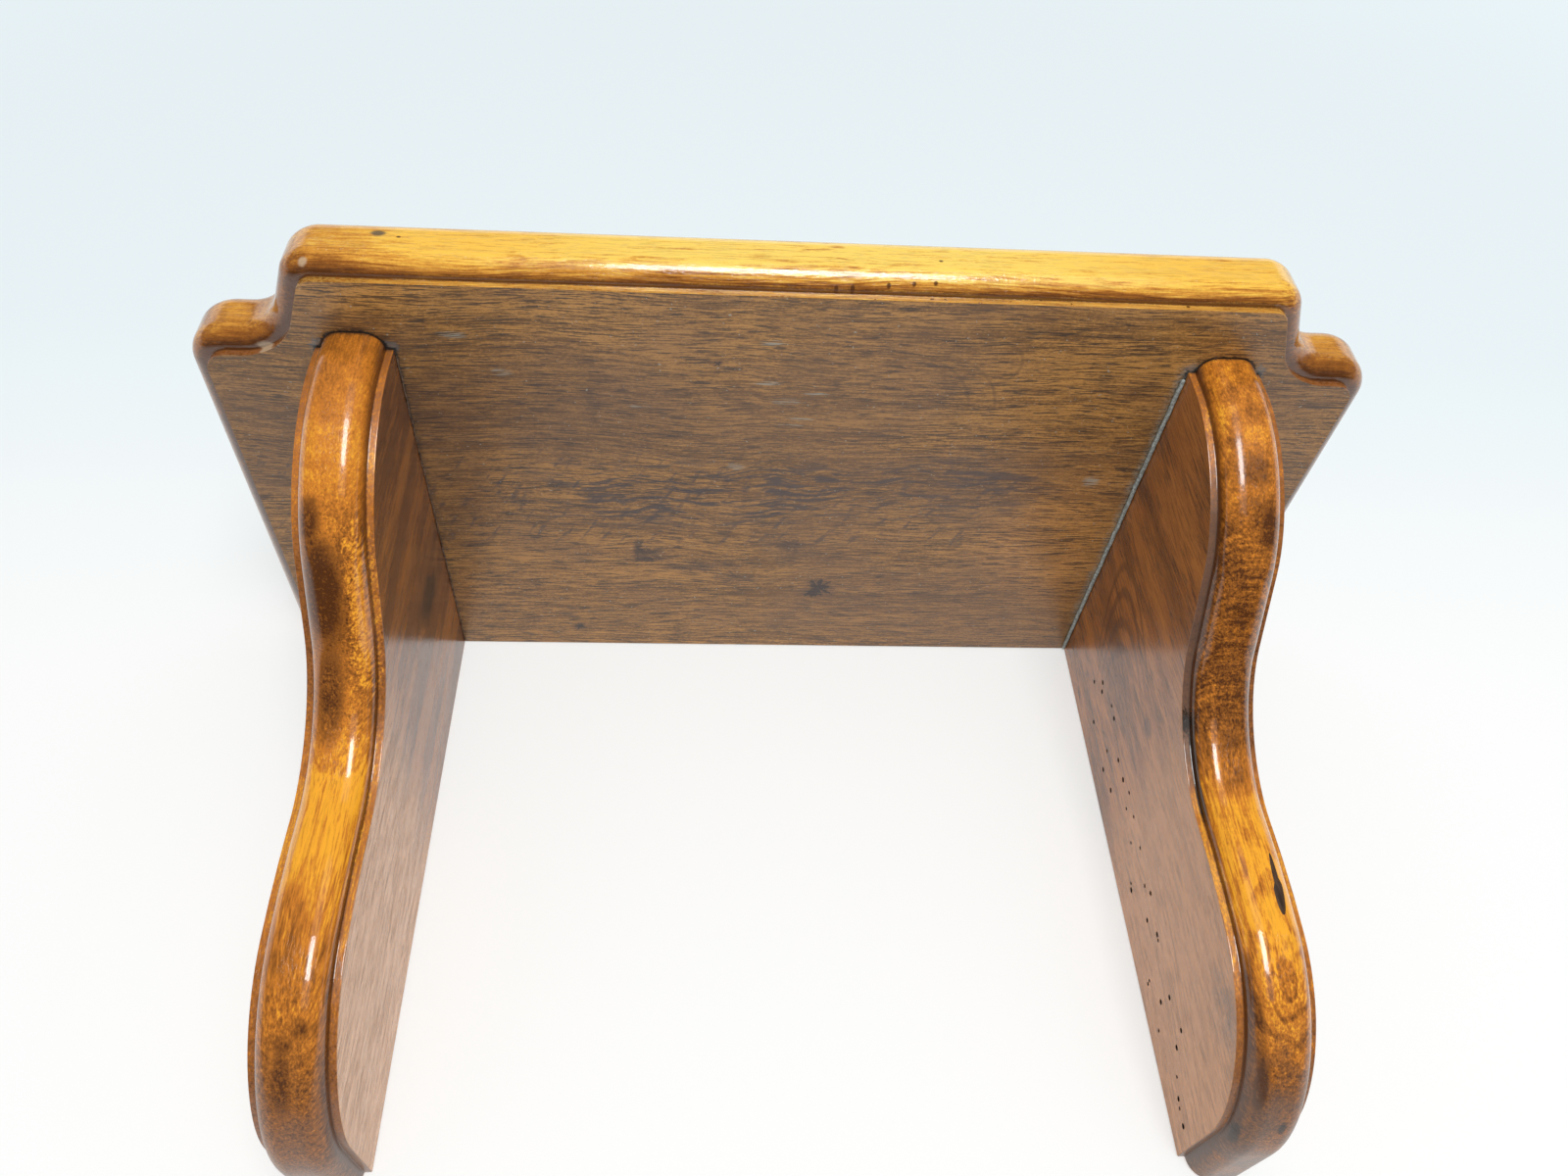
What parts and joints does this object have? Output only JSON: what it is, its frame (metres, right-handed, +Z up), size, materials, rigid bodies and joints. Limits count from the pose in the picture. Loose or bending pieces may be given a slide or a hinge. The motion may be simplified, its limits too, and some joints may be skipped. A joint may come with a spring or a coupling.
{
  "type": "wall shelf",
  "caption": "Small wooden wall shelf: moulded board with set-back ears at its ends, on scrolled side brackets hung by keyhole plates.",
  "frame": {"origin": "middle of the board's back edge, at half the board's thickness, where it meets the wall", "axes": "+X along the board to the right as seen facing the shelf, +Y into the wall, +Z up"},
  "size_m": [0.309, 0.1567, 0.1809],
  "materials": {
    "board_walnut": "satin brown walnut, amber gloss on the moulded front edge",
    "bracket_walnut": "glossy amber varnish over walnut",
    "dowel_beech": "bare beech",
    "zinc_steel": "bright zinc plating",
    "brassed_steel": "brass plating"
  },
  "bodies": {
    "root": {"shelf_board": "board_walnut", "left_bracket": "bracket_walnut", "right_bracket": "bracket_walnut", "left_front_dowel": "dowel_beech", "left_rear_dowel": "dowel_beech", "right_front_dowel": "dowel_beech", "right_rear_dowel": "dowel_beech", "left_hanger_plate": "zinc_steel", "right_hanger_plate": "zinc_steel", "left_upper_screw": "brassed_steel", "left_lower_screw": "brassed_steel", "right_upper_screw": "brassed_steel", "right_lower_screw": "brassed_steel"}
  },
  "joints": []
}
